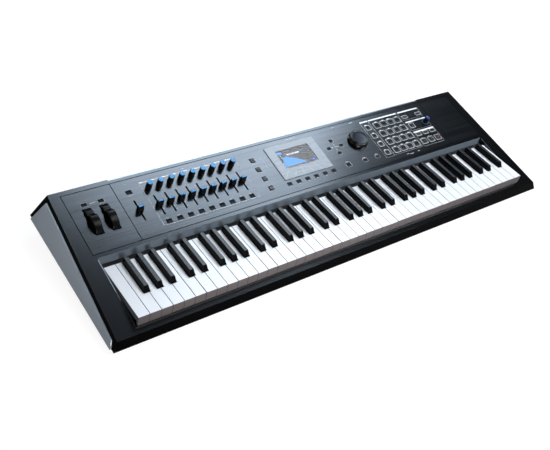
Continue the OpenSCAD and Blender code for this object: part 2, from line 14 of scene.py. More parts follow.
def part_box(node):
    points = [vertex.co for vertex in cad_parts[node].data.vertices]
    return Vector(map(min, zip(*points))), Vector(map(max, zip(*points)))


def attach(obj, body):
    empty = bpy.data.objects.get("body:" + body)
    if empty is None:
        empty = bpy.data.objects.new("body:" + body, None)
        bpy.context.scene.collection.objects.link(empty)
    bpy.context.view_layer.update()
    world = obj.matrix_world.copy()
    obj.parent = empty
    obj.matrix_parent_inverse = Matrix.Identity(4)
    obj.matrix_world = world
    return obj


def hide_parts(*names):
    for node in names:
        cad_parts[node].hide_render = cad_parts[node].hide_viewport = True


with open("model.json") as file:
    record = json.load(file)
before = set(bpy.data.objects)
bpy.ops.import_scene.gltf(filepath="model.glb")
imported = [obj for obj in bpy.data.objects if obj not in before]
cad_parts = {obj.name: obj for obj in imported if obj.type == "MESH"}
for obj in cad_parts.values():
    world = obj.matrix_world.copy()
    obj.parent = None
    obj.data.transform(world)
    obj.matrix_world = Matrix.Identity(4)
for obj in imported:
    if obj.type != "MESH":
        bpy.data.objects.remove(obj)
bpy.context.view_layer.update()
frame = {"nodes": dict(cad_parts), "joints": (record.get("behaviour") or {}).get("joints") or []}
NODES = frame["nodes"]
JOINT = {j["child"]: j for j in frame["joints"]}
MM = 0.001
TAU = 2 * math.pi

# ---------------------------------------------------------------- frames of reference

UP_SLOPE = Vector(JOINT["fader_1"]["axis"]).normalized()
DECK_NORMAL = Vector(JOINT["knob_1"]["axis"]).normalized()
PANEL_POINTS = [v.co for v in NODES["main_panel"].data.vertices]
PANEL_TOP = max(p.dot(DECK_NORMAL) for p in PANEL_POINTS)
# v, up the deck in millimetres, of the panel sheets' front edge.
PANEL_FRONT = 160.7
DECK_ZERO = min(p.dot(UP_SLOPE) for p in PANEL_POINTS) - PANEL_FRONT * MM
ORIGIN = UP_SLOPE * DECK_ZERO + DECK_NORMAL * PANEL_TOP
DECK = Matrix(
    (
        (1, 0, 0, 0),
        (0, UP_SLOPE.y, DECK_NORMAL.y, ORIGIN.y),
        (0, UP_SLOPE.z, DECK_NORMAL.z, ORIGIN.z),
        (0, 0, 0, 1),
    )
)
DECK_INVERSE = DECK.inverted()


def deck_place(body):
    """(x, v) in millimetres where the joint of this body crosses the panel."""
    p = DECK_INVERSE @ Vector(JOINT[body]["pos_m"])
    return p.x / MM, p.y / MM


def solids(bm):
    """The vertices of each separate solid of a mesh, as one list a solid."""
    seen, found = set(), []
    for start in bm.verts:
        if start.index in seen:
            continue
        stack, members = [start], []
        seen.add(start.index)
        while stack:
            v = stack.pop()
            members.append(v)
            for e in v.link_edges:
                w = e.other_vert(v)
                if w.index not in seen:
                    seen.add(w.index)
                    stack.append(w)
        found.append(members)
    return found


def islands(node):
    """Boxes, in deck millimetres, of the separate solids in a CAD node: [(low, high), ...]."""
    bm = merged(node)
    bm.transform(DECK_INVERSE)
    found = []
    for members in solids(bm):
        points = [v.co / MM for v in members]
        low = Vector([min(p[i] for p in points) for i in range(3)])
        high = Vector([max(p[i] for p in points) for i in range(3)])
        found.append((low, high))
    bm.free()
    return found


def merged(node):
    """The CAD node's mesh with its vertices joined and its flat faces whole."""
    bm = bmesh.new()
    bm.from_mesh(NODES[node].data)
    bmesh.ops.remove_doubles(bm, verts=bm.verts, dist=3e-6)
    bmesh.ops.dissolve_limit(
        bm, angle_limit=math.radians(1), verts=bm.verts, edges=bm.edges
    )
    bm.normal_update()
    bm.verts.index_update()
    return bm


# ---------------------------------------------------------------- materials

FINE_SHARE, BROAD_SHARE = 0.6, 0.4
NOISE_LOW, NOISE_HIGH = 0.3, 0.7


def surface(
    name,
    colour,
    roughness,
    metallic=0.0,
    grain=(900, 900, 900),
    patch=14.0,
    colour_spread=0.10,
    rough_spread=0.06,
    bump=0.15,
    depth=0.00008,
    detail=4.0,
    **sockets,
):
    """Principled material with grain in its colour, roughness and relief, in object coordinates."""
    m = bpy.data.materials.new(name)
    m.use_nodes = True
    nt = m.node_tree
    shader = nt.nodes["Principled BSDF"]
    coord = nt.nodes.new("ShaderNodeTexCoord")
    mapping = nt.nodes.new("ShaderNodeMapping")
    mapping.inputs["Scale"].default_value = grain
    fine = nt.nodes.new("ShaderNodeTexNoise")
    fine.inputs["Scale"].default_value = 1.0
    fine.inputs["Detail"].default_value = detail
    broad = nt.nodes.new("ShaderNodeTexNoise")
    broad.inputs["Scale"].default_value = patch
    broad.inputs["Detail"].default_value = 3.0
    nt.links.new(coord.outputs["Object"], mapping.inputs["Vector"])
    nt.links.new(mapping.outputs["Vector"], fine.inputs["Vector"])
    nt.links.new(coord.outputs["Object"], broad.inputs["Vector"])
    both = nt.nodes.new("ShaderNodeMath")
    both.operation = "MULTIPLY_ADD"
    nt.links.new(broad.outputs["Fac"], both.inputs[0])
    both.inputs[1].default_value = BROAD_SHARE
    weigh = nt.nodes.new("ShaderNodeMath")
    weigh.operation = "MULTIPLY"
    nt.links.new(fine.outputs["Fac"], weigh.inputs[0])
    weigh.inputs[1].default_value = FINE_SHARE
    nt.links.new(weigh.outputs[0], both.inputs[2])
    tone = nt.nodes.new("ShaderNodeMix")
    tone.data_type = "RGBA"
    tone.inputs[6].default_value = (*[c * (1 - colour_spread) for c in colour], 1)
    tone.inputs[7].default_value = (*[min(1, c * (1 + colour_spread)) for c in colour], 1)
    ramp = nt.nodes.new("ShaderNodeMapRange")
    ramp.inputs["From Min"].default_value = NOISE_LOW
    ramp.inputs["From Max"].default_value = NOISE_HIGH
    nt.links.new(both.outputs[0], ramp.inputs["Value"])
    nt.links.new(ramp.outputs["Result"], tone.inputs[0])
    nt.links.new(tone.outputs[2], shader.inputs["Base Color"])
    rough = nt.nodes.new("ShaderNodeMapRange")
    rough.inputs["From Min"].default_value = NOISE_LOW
    rough.inputs["From Max"].default_value = NOISE_HIGH
    rough.inputs["To Min"].default_value = max(0.02, roughness - rough_spread)
    rough.inputs["To Max"].default_value = min(1.0, roughness + rough_spread)
    nt.links.new(fine.outputs["Fac"], rough.inputs["Value"])
    nt.links.new(rough.outputs["Result"], shader.inputs["Roughness"])
    if bump:
        relief = nt.nodes.new("ShaderNodeBump")
        relief.inputs["Strength"].default_value = bump
        relief.inputs["Distance"].default_value = depth
        nt.links.new(fine.outputs["Fac"], relief.inputs["Height"])
        nt.links.new(relief.outputs["Normal"], shader.inputs["Normal"])
    shader.inputs["Metallic"].default_value = metallic
    for key, value in sockets.items():
        shader.inputs[key.replace("_", " ")].default_value = value
    return m


def glow(name, colour, strength, roughness=0.35):
    """A lit display colour with a faint pixel grid."""
    m = surface(name, [c * 0.35 for c in colour], roughness, grain=(1500, 1500, 1500))
    shader = m.node_tree.nodes["Principled BSDF"]
    shader.inputs["Emission Color"].default_value = (*colour, 1)
    shader.inputs["Emission Strength"].default_value = strength
    shader.inputs["Specular IOR Level"].default_value = 0.2
    return m


M = {
    "case": surface(
        "case_satin_black", (0.074, 0.080, 0.088), 0.20, 1.0, grain=(1200, 1200, 1200), bump=0.04,
        colour_spread=0.04, rough_spread=0.03,
    ),
    # Fascia: the case paint as a lighter, bluish, nearly non-metallic copy, painted reflection.
    "fascia": surface(
        "fascia_painted_reflection", (0.086, 0.110, 0.138), 0.42, 0.1, grain=(30, 900, 900), bump=0.02,
        colour_spread=0.04, rough_spread=0.03,
    ),
    "lip": surface("lip_black", (0.0016, 0.0016, 0.0018), 0.25, bump=0.02, Specular_IOR_Level=0.06),
    # Light metal tone for the rear strip of the case and the key well's edges: painted highlight.
    "edge": surface(
        "edge_painted_highlight", (0.36, 0.39, 0.44), 0.34, 1.0, grain=(30, 900, 900), bump=0.03,
        colour_spread=0.05, rough_spread=0.03,
    ),
    "panel": surface(
        "panel_brushed", (0.078, 0.084, 0.093), 0.22, 1.0, grain=(5, 340, 340), patch=6.0,
        colour_spread=0.24, rough_spread=0.02, bump=0.0, detail=1.5,
    ),
    "plate": surface(
        "plate_brushed", (0.375, 0.415, 0.465), 0.36, 1.0, grain=(500, 14, 500),
        colour_spread=0.035, rough_spread=0.03, bump=0.03, depth=0.00003, detail=3.0,
    ),
    "white": surface(
        "key_white", (0.74, 0.765, 0.82), 0.24, colour_spread=0.015, bump=0.02, patch=30,
        Coat_Weight=0.15, Coat_Roughness=0.1,
    ),
    # Front faces of the white keys: the white plastic coloured dark warm grey, painted shade.
    "skirt": surface(
        "key_skirt", (0.135, 0.117, 0.118), 0.45, colour_spread=0.05, bump=0.05, patch=40,
    ),
    # Sides of the white keys: the white plastic coloured dark grey, painted shade in the gaps.
    "flank_painted_shade": surface(
        "key_side_painted_shade", (0.16, 0.165, 0.18), 0.5, colour_spread=0.03, bump=0.02, patch=30,
    ),
    # Black keys: one black plastic in two copies, the sides darker and duller (painted shade), the
    # upper faces lighter, bluish and glossier (painted sheen).
    "black": surface(
        "black_key_sides_painted_shade", (0.0035, 0.0036, 0.0042), 0.26, grain=(1600, 160, 1600), bump=0.05,
        colour_spread=0.2, Specular_IOR_Level=0.07,
    ),
    "black_top": surface(
        "key_black_top", (0.011, 0.014, 0.020), 0.28, grain=(1600, 160, 1600), bump=0.02,
        colour_spread=0.1, rough_spread=0.02, Specular_IOR_Level=0.32,
    ),
    "wheel": surface(
        "wheel_gloss", (0.0030, 0.0030, 0.0035), 0.24, bump=0.0, Specular_IOR_Level=0.16,
    ),
    "knob": surface(
        "knob_black", (0.0028, 0.0028, 0.0034), 0.40, bump=0.1, Specular_IOR_Level=0.10,
    ),
    "blue": surface(
        "cap_blue", (0.075, 0.32, 0.70), 0.42, colour_spread=0.08, bump=0.08,
        Specular_IOR_Level=0.3,
    ),
    "navy": surface("cap_navy", (0.012, 0.035, 0.20), 0.30, bump=0.03),
    "pale_blue": surface("pointer_pale", (0.55, 0.75, 0.95), 0.45, bump=0.05),
    "dial": surface("dial_black", (0.003, 0.003, 0.004), 0.16, bump=0.0, Specular_IOR_Level=0.5),
    "dial_top": surface(
        "dial_dish", (0.036, 0.041, 0.048), 0.22, 1.0, bump=0.0, colour_spread=0.03,
        rough_spread=0.02,
    ),
    "rubber": surface(
        "button_grey", (0.020, 0.023, 0.027), 0.5, bump=0.12, Specular_IOR_Level=0.06,
    ),
    "rubber_mid": surface(
        "button_mid", (0.034, 0.038, 0.044), 0.5, bump=0.1, Specular_IOR_Level=0.06,
    ),
    "lens": surface(
        "button_window", (0.002, 0.002, 0.0025), 0.25, bump=0.02, Specular_IOR_Level=0.03,
    ),
    "print": surface("print_white", (0.80, 0.86, 0.92), 0.5, colour_spread=0.06, bump=0.05),
    "print_dim": surface("print_grey", (0.42, 0.46, 0.51), 0.5, colour_spread=0.08, bump=0.05),
    "tick": surface("tick_grey", (0.50, 0.55, 0.60), 0.5, colour_spread=0.08, bump=0.05),
    "print_red": surface("print_red", (0.75, 0.06, 0.05), 0.5, bump=0.05),
    "bezel": surface(
        "bezel_blue_grey", (0.27, 0.31, 0.365), 0.30, grain=(24, 500, 500), bump=0.08,
        colour_spread=0.06,
    ),
    # Matte black for the LCD module, and for strips and rings of painted shade in grooves, gaps and
    # openings.
    "black_and_painted_shade": surface(
        "matte_black_and_painted_shade", (0.002, 0.002, 0.0025), 0.7, bump=0.1, Specular_IOR_Level=0.02,
    ),
    "socket": surface("socket_black", (0.010, 0.010, 0.011), 0.45, bump=0.2),
    "steel": surface("screw_steel", (0.42, 0.43, 0.45), 0.30, 1.0, bump=0.15),
    "chassis": surface(
        "zinc_steel", (0.48, 0.49, 0.51), 0.42, 0.9, grain=(120, 120, 120), colour_spread=0.18,
        bump=0.1,
    ),
    "pan": surface(
        "pan_powder_coat", (0.016, 0.017, 0.019), 0.62, grain=(1300, 1300, 1300), bump=0.5,
    ),
    "board": surface(
        "board_green", (0.015, 0.085, 0.045), 0.45, grain=(260, 260, 260), colour_spread=0.4,
        bump=0.3,
    ),
    "felt": surface(
        "felt_black", (0.006, 0.006, 0.0065), 0.95, grain=(2200, 2200, 2200), bump=0.9,
        depth=0.0003,
    ),
    "foot": surface("foot_rubber", (0.018, 0.018, 0.019), 0.8, grain=(1100, 1100, 1100), bump=0.5),
    "screen": glow("screen_ground", (0.120, 0.115, 0.106), 1.0),
    "screen_dark": glow("screen_band", (0.082, 0.080, 0.082), 1.0),
    "screen_blue": glow("screen_blue", (0.13, 0.34, 0.74), 1.0),
    "screen_line": glow("screen_line", (0.07, 0.13, 0.42), 1.0),
    "screen_pale": glow("screen_pale", (0.74, 0.74, 0.72), 1.0),
    "screen_warm": glow("screen_warm", (0.27, 0.22, 0.21), 1.0),
    "led": glow("ring_blue", (0.02, 0.14, 0.30), 0.4),
}
M["glass"] = surface("window_glass", (0.96, 0.97, 0.98), 0.02, colour_spread=0.0, rough_spread=0.0,
                     bump=0.0, Transmission_Weight=1.0, IOR=1.10)

# ---------------------------------------------------------------- mesh helpers


class Shape:
    """Collects closed solids, in millimetres, as one mesh with several materials."""

    def __init__(self):
        self.verts, self.faces, self.slots = [], [], []

    def add(self, verts, faces, slot=0):
        base = len(self.verts)
        self.verts += [Vector(v) for v in verts]
        self.faces += [[i + base for i in f] for f in faces]
        self.slots += [slot] * len(faces)

    def prism(self, outline, low, high, slot=0, turn=None):
        """Extrudes a closed outline from low to high. turn maps (a, b, height) to a point."""
        turn = turn or (lambda a, b, h: (a, b, h))
        n = len(outline)
        area = sum(
            outline[i - 1][0] * outline[i][1] - outline[i][0] * outline[i - 1][1] for i in range(n)
        )
        if area < 0:
            outline = outline[::-1]
        verts = [turn(a, b, low) for a, b in outline] + [turn(a, b, high) for a, b in outline]
        faces = [list(range(n))[::-1], list(range(n, 2 * n))]
        faces += [[i, (i + 1) % n, n + (i + 1) % n, n + i] for i in range(n)]
        self.add(verts, faces, slot)

    def box(self, x, y, z, slot=0):
        self.prism([(x[0], y[0]), (x[1], y[0]), (x[1], y[1]), (x[0], y[1])], z[0], z[1], slot)

    def slab(self, x, y, w, l, low, high, r=1.0, slot=0):
        """Rounded rectangle plate centred at x, y."""
        self.prism(rounded(x, y, w, l, r), low, high, slot)

    def ring(self, x, y, w, l, t, low, high, r=1.5, slot=0, hole=None):
        """Rounded rectangular frame of line width t, or with its own inner rectangle."""
        outer = rounded(x, y, w, l, r)
        hx, hy, hw, hl = hole or (x, y, w - 2 * t, l - 2 * t)
        inner = rounded(hx, hy, hw, hl, max(0.2, r - t))
        self.hoop(outer, inner, low, high, slot)

    def hoop(self, outer, inner, low, high, slot=0):
        """Closed band between two outlines with the same number of points."""
        n = len(outer)
        verts = [(a, b, h) for h in (low, high) for loop in (outer, inner) for a, b in loop]
        faces = []
        for i in range(n):
            j = (i + 1) % n
            faces += [
                [2 * n + i, 2 * n + j, 3 * n + j, 3 * n + i],
                [j, i, n + i, n + j],
                [i, j, 2 * n + j, 2 * n + i],
                [n + j, n + i, 3 * n + i, 3 * n + j],
            ]
        self.add(verts, faces, slot)

    def lathe(
        self, profile, centre=(0, 0, 0), n=64, slot=0, flutes=0, flute_depth=0.0, span=(0, 0),
    ):
        """Turns an (r, z) profile about z. Flutes cut its points span[0] to span[1]."""
        cx, cy, cz = centre
        rings, verts = [], []
        for k, (r, z) in enumerate(profile):
            if r < 1e-6:
                rings.append([len(verts)])
                verts.append((cx, cy, cz + z))
                continue
            row = []
            for i in range(n):
                a = TAU * i / n
                cut = 0
                if flutes and span[0] <= k <= span[1]:
                    cut = flute_depth * (0.5 - 0.5 * math.cos(flutes * a))
                row.append(len(verts))
                verts.append((cx + (r - cut) * math.cos(a), cy + (r - cut) * math.sin(a), cz + z))
            rings.append(row)
        faces = []
        for low, high in zip(rings, rings[1:]):
            for i in range(n):
                j = (i + 1) % n
                if len(low) == 1 and len(high) == 1:
                    continue
                if len(low) == 1:
                    faces.append([low[0], high[j], high[i]])
                elif len(high) == 1:
                    faces.append([low[i], low[j], high[0]])
                else:
                    faces.append([low[i], low[j], high[j], high[i]])
        self.add(verts, faces, slot)

    def make(
        self, name, body, materials, matrix=DECK, bevel=0.0, segments=2, replaces=(), slot=None,
        angle=35.0,
    ):
        scaled = matrix @ Matrix.Diagonal((MM, MM, MM, 1))
        mesh = bpy.data.meshes.new(name)
        mesh.from_pydata([scaled @ v for v in self.verts], [], self.faces)
        mesh.polygons.foreach_set("material_index", self.slots)
        return finish_piece(
            name, mesh, body, materials, bevel * MM, segments, replaces, angle,
        )


def rounded(x, y, w, l, r, n=4):
    r = min(r, w / 2 - 0.01, l / 2 - 0.01)
    points = []
    for cx, cy, start in (
        (x + w / 2 - r, y + l / 2 - r, 0),
        (x - w / 2 + r, y + l / 2 - r, 90),
        (x - w / 2 + r, y - l / 2 + r, 180),
        (x + w / 2 - r, y - l / 2 + r, 270),
    ):
        for k in range(n + 1):
            a = math.radians(start + 90 * k / n)
            points.append((cx + r * math.cos(a), cy + r * math.sin(a)))
    return points


def finish_piece(
    name, mesh, body, materials, bevel, segments, replaces, angle, weighted=False,
):
    for key in materials:
        mesh.materials.append(M[key])
    mesh.validate()
    mesh.shade_smooth()
    piece = bpy.data.objects.new(name, mesh)
    bpy.context.scene.collection.objects.link(piece)
    if bevel:
        mod = piece.modifiers.new("bevel", "BEVEL")
        mod.width = bevel
        mod.segments = segments
        mod.limit_method = "WEIGHT" if weighted else "ANGLE"
        mod.angle_limit = math.radians(angle)
        mod.use_clamp_overlap = True
    normals = piece.modifiers.new("normals", "WEIGHTED_NORMAL")
    normals.keep_sharp = True
    if not bevel:
        mesh.set_sharp_from_angle(angle=math.radians(angle))
    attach(piece, body)
    if replaces:
        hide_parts(*replaces)
    return piece


def rounded_copy(node, name, body, materials, width, weight_of, segments=3, material_of=None):
    """A copy of a CAD node whose edges are rounded by weight_of(edge), from 0 to 1 times width."""
    bm = merged(node)
    for face in bm.faces:
        face.material_index = material_of(face) if material_of else 0
    layer = bm.edges.layers.float.new("bevel_weight_edge")
    for e in bm.edges:
        if len(e.link_faces) == 2 and e.calc_face_angle(0) > math.radians(12):
            e[layer] = weight_of(e)
            e.smooth = e[layer] > 0
    mesh = bpy.data.meshes.new(name)
    bm.to_mesh(mesh)
    bm.free()
    return finish_piece(
        name, mesh, body, materials, width, segments, [node], 30, weighted=True,
    )


# ---------------------------------------------------------------- camera and studio

camera = bpy.data.objects.new("camera", bpy.data.cameras.new("camera"))
bpy.context.scene.collection.objects.link(camera)
bpy.context.scene.camera = camera
CAMERA_PLACE = (-1.05375, -0.90421, 1.10996)
CAMERA_YAW, CAMERA_PITCH, CAMERA_ROLL = 46.354, 40.634, 15.755
CAMERA_LENS = 52.18
camera.data.sensor_width = 36.0
camera.data.lens = CAMERA_LENS
camera.data.clip_start = 0.05
camera.data.clip_end = 60
yaw, pitch, roll = (math.radians(a) for a in (CAMERA_YAW, CAMERA_PITCH, CAMERA_ROLL))
look = Vector((math.sin(yaw) * math.cos(pitch), math.cos(yaw) * math.cos(pitch), -math.sin(pitch)))
side = look.cross(Vector((0, 0, 1))).normalized()
over = side.cross(look)
right = math.cos(roll) * side + math.sin(roll) * over
above = -math.sin(roll) * side + math.cos(roll) * over
camera.matrix_world = Matrix(
    (
        (right.x, above.x, -look.x, CAMERA_PLACE[0]),
        (right.y, above.y, -look.y, CAMERA_PLACE[1]),
        (right.z, above.z, -look.z, CAMERA_PLACE[2]),
        (0, 0, 0, 1),
    )
)


def area_light(
    name, centre, size, power, target=(0, 0, 0.05), colour=(1, 1, 1), roll=0.0, spread=180.0,
):
    light = bpy.data.lights.new(name, "AREA")
    light.shape = "RECTANGLE"
    light.size, light.size_y = size
    light.energy = power
    light.color = colour
    light.spread = math.radians(spread)
    obj = bpy.data.objects.new(name, light)
    bpy.context.scene.collection.objects.link(obj)
    obj.location = centre
    obj.rotation_mode = "QUATERNION"
    aim = (Vector(target) - Vector(centre)).to_track_quat("-Z", "Y")
    obj.rotation_quaternion = aim @ Quaternion((0, 0, 1), math.radians(roll))


def direction(azimuth, elevation, distance):
    """Azimuth is from +Y towards +X, in degrees."""
    a, e = math.radians(azimuth), math.radians(elevation)
    return (
        distance * math.sin(a) * math.cos(e),
        distance * math.cos(a) * math.cos(e),
        distance * math.sin(e),
    )


area_light("softbox", direction(46.3, 48.5, 5), (2.3, 2.0), 106, colour=(0.80, 0.91, 1.0), roll=14)
area_light("overhead", direction(128, 58, 4.2), (2.0, 2.0), 57)
area_light("front_left", (-0.45, -1.50, 0.50), (0.6, 0.4), 1.7, target=(-0.16, 0, 0.06), spread=48)
area_light(
    "right_fill", (1.35, -1.10, 1.20), (0.6, 0.6), 3.1, target=(0.42, -0.08, 0.05), spread=50,
)
area_light("left_card", direction(-72, 9, 2.6), (1.2, 0.8), 8)
area_light("rear_fill", direction(-12, 20, 4.5), (2.4, 1.0), 44)

scene = bpy.context.scene
scene.view_settings.view_transform = "Standard"
world = bpy.data.worlds.new("studio")
scene.world = world
world.use_nodes = True
wt = world.node_tree
path = wt.nodes.new("ShaderNodeLightPath")
seen = wt.nodes["Background"]
seen.inputs["Color"].default_value = (1, 1, 1, 1)
seen.inputs["Strength"].default_value = 1.0
ambient = wt.nodes.new("ShaderNodeBackground")
ambient.inputs["Color"].default_value = (0.9, 0.95, 1, 1)
ambient.inputs["Strength"].default_value = 0.035
mix = wt.nodes.new("ShaderNodeMixShader")
wt.links.new(path.outputs["Is Camera Ray"], mix.inputs[0])
wt.links.new(ambient.outputs[0], mix.inputs[1])
wt.links.new(seen.outputs[0], mix.inputs[2])
wt.links.new(mix.outputs[0], wt.nodes["World Output"].inputs[0])

floor_mesh = bpy.data.meshes.new("floor")
FLOOR = 14
floor_corners = [(-FLOOR, -FLOOR, 0), (FLOOR, -FLOOR, 0), (FLOOR, FLOOR, 0), (-FLOOR, FLOOR, 0)]
floor_mesh.from_pydata(floor_corners, [], [(0, 1, 2, 3)])
floor = bpy.data.objects.new("floor", floor_mesh)
scene.collection.objects.link(floor)
paper = bpy.data.materials.new("floor_paper")
paper.use_nodes = True
ft = paper.node_tree
ft.nodes["Principled BSDF"].inputs["Base Color"].default_value = (0.2, 0.2, 0.2, 1)
ft.nodes["Principled BSDF"].inputs["Roughness"].default_value = 0.9
ft.nodes["Principled BSDF"].inputs["Specular IOR Level"].default_value = 0.1
lift = ft.nodes.new("ShaderNodeEmission")
lift.inputs["Strength"].default_value = 0.9
add = ft.nodes.new("ShaderNodeAddShader")
ray = ft.nodes.new("ShaderNodeLightPath")
only = ft.nodes.new("ShaderNodeMixShader")
ft.links.new(ft.nodes["Principled BSDF"].outputs[0], add.inputs[0])
ft.links.new(lift.outputs[0], add.inputs[1])
ft.links.new(ray.outputs["Is Camera Ray"], only.inputs[0])
ft.links.new(ft.nodes["Principled BSDF"].outputs[0], only.inputs[1])
ft.links.new(add.outputs[0], only.inputs[2])
ft.links.new(only.outputs[0], ft.nodes["Material Output"].inputs[0])
floor_mesh.materials.append(paper)

# ---------------------------------------------------------------- CAD nodes kept, with finishes

for node, key in {
    "bottom_pan": "pan",
    "wheel_panel": "panel",
    "main_panel": "panel",
    "right_panel": "panel",
    "lcd_module": "black_and_painted_shade",
    "rear_panel": "pan",
    "jack_sockets": "socket",
    "round_sockets": "socket",
    "computer_socket": "socket",
    "switch_housing": "socket",
    "power_switch": "socket",
    "key_frame": "chassis",
    "key_felts": "felt",
    "wheel_bracket": "chassis",
    "panel_board": "board",
    "main_board": "board",
    "case_screws": "steel",
    "feet": "foot",
}.items():
    NODES[node].data.materials.clear()
    NODES[node].data.materials.append(M[key])

# ---------------------------------------------------------------- keys

KEY_TOP = max(v.co.z for v in NODES["keys_c"].data.vertices)
KEY_FRONT = min(v.co.y for v in NODES["keys_c"].data.vertices)
NEAR = 0.05 * MM
# Heights over the white keys that tell a black key's upper faces and edges.
BLACK_FACE, BLACK_EDGE, BLACK_FOOT = 8 * MM, 11.5 * MM, 1 * MM
KEY_FACE, KEY_FRONT_WALL, KEY_FLANK = range(3)


def white_weight(e):
    a, b = (v.co for v in e.verts)
    on_top = all(p.z > KEY_TOP - NEAR for p in (a, b))
    in_front = all(p.y < KEY_FRONT + NEAR for p in (a, b))
    if on_top and in_front:
        return 1.0
    if on_top:
        return 0.75
    return 0.32 if in_front else 0.1


def white_material(face):
    """The sides are coloured dark grey, painted shade that shows as lines between the keys."""
    if abs(face.normal.x) > 0.9:
        return KEY_FLANK
    in_front = face.calc_center_median().y < KEY_FRONT + NEAR
    # Front faces take the dark warm grey of painted shade.
    return KEY_FRONT_WALL if face.normal.y < -0.9 and in_front else KEY_FACE


def black_material(face):
    # Upper faces take the painted sheen copy, the rest the painted shade copy.
    return 1 if face.normal.z > 0.95 and face.calc_center_median().z > KEY_TOP + BLACK_FACE else 0


def black_weight(e):
    top = max(v.co.z for v in e.verts)
    low = min(v.co.z for v in e.verts)
    if low > KEY_TOP + BLACK_EDGE:
        return 1.0
    return 0.7 if top > KEY_TOP + BLACK_FOOT else 0.15


for note in ("c", "d", "e", "f", "g", "a", "b"):
    rounded_copy(
        f"keys_{note}", f"white_keys_{note}", f"keys_{note}", ["white", "skirt", "flank_painted_shade"],
        1.5 * MM, white_weight, material_of=white_material,
    )
for note in ("c", "d", "f", "g", "a"):
    rounded_copy(
        f"keys_{note}_sharp", f"black_keys_{note}_sharp", f"keys_{note}_sharp",
        ["black", "black_top"], 1.0 * MM, black_weight, material_of=black_material,
    )

# ---------------------------------------------------------------- case and side plates

# Limits on the deck, in millimetres, that tell the parts of the case.
RECESS = (159.0, 305.0)
INNER_HALF = 540
FASCIA_SPAN, FASCIA_HALF = (140, 160), 500
EDGE_FROM, EDGE_HALF = 308, 436
LIP_BEFORE = -10
CASE, FASCIA, EDGE, LIP = range(4)


def case_weight(e):
    points = [DECK_INVERSE @ v.co / MM for v in e.verts]
    if all(abs(p.z) < 6 and RECESS[0] < p.y < RECESS[1] and abs(p.x) < INNER_HALF for p in points):
        return 0.0
    normals = [f.normal for f in e.link_faces]
    if any(n.z < -0.3 for n in normals):
        return 0.25
    if all(n.dot(DECK_NORMAL) > 0.3 for n in normals):
        return 1.0
    if any(n.dot(DECK_NORMAL) > 0.9 for n in normals):
        return 0.6
    return 0.3


def case_material(face):
    middle = DECK_INVERSE @ face.calc_center_median() / MM
    front_wall = face.normal.y < -0.5 and middle.y < LIP_BEFORE
    end_wall = abs(face.normal.x) > 0.5 and abs(middle.x) > INNER_HALF
    if front_wall or end_wall:
        return LIP
    in_fascia = FASCIA_SPAN[0] < middle.y < FASCIA_SPAN[1] and abs(middle.x) < FASCIA_HALF
    # Fascia faces take the lighter bluish copy of the case paint, painted reflection.
    if face.normal.y < -0.85 and in_fascia:
        return FASCIA
    # The rear strip takes the light metal tone of painted highlight.
    at_rear = middle.y > EDGE_FROM and middle.z > -2.2 and abs(middle.x) < EDGE_HALF
    return EDGE if at_rear and face.normal.dot(DECK_NORMAL) > -0.1 else CASE


rounded_copy(
    "upper_case", "case_shell", "case", ["case", "fascia", "edge", "lip"], 1.6 * MM, case_weight,
    material_of=case_material,
)
rounded_copy(
    "side_plates", "side_plates_brushed", "case", ["plate"], 0.5 * MM, lambda e: 1.0,
)

# ---------------------------------------------------------------- wheels


def wheel_outline(radius, notch_at, notch_half, notch_depth, n=160):
    points = []
    for k in range(n):
        a = 360.0 * k / n - 180
        t = abs(a - notch_at) / notch_half
        cut = notch_depth * (0.5 + 0.5 * math.cos(math.pi * t)) ** 1.3 if t < 1 else 0
        r = radius - cut
        points.append((r * math.sin(math.radians(a)), r * math.cos(math.radians(a))))
    return points


for body in ("pitch_wheel", "mod_wheel"):
    low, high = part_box(body)
    hub = DECK_INVERSE @ Vector(JOINT[body]["pos_m"]) / MM
    half = (high.x - low.x) / 2 / MM
    radius = (high.z - low.z) / 2 / MM
    shape = Shape()
    outline = wheel_outline(radius, notch_at=24, notch_half=22, notch_depth=5.2)
    shape.prism(outline, -half, half, turn=lambda a, b, h: (hub.x + h, hub.y + a, hub.z + b))
    shape.make(
        f"{body}_tyre", body, ["wheel"], bevel=1.5, segments=3, replaces=[body],
        slot="wheel_rubber", angle=50,
    )

# ---------------------------------------------------------------- knobs and dial


def knob(body, base_r, top_r, height, top):
    x, v = deck_place(body)
    shape = Shape()
    profile = [(0, 0.8), (base_r, 0.8), (base_r, 1.6), (base_r - 0.15, 2.2)]
    steps = 5
    profile += [
        (base_r - 0.2 + (top_r - base_r + 0.1) * k / steps, 2.6 + (height - 3.9) * k / steps)
        for k in range(steps + 1)
    ]
    profile += [(top_r - 0.05, height - 1.0), (top_r - 0.3, height - 0.7), (0, height - 0.7)]
    shape.lathe(profile, (x, v, 0), n=120, flutes=20, flute_depth=0.45, span=(4, 9))
    shape.lathe([(0, height - 0.8), (top_r - 0.4, height - 0.8), (top_r - 0.4, height - 0.35),
                 (top_r - 0.8, height - 0.05), (top_r - 1.7, height - 0.15), (0, height - 0.2)],
                (x, v, 0), n=60, slot=1)
    shape.box(
        (x - 0.45, x + 0.45), (v + 1.2, v + top_r - 1.3), (height - 0.4, height - 0.02), slot=2,
    )
    shape.make(
        f"{body}_cap", body, ["knob", top, "pale_blue"], replaces=[body], slot="knob_rubber",
        angle=40,
    )


for i in range(1, 10):
    knob(f"knob_{i}", 6.75, 6.1, 17.0, "blue")
knob("tempo_knob", 6.75, 6.1, 16.0, "navy")

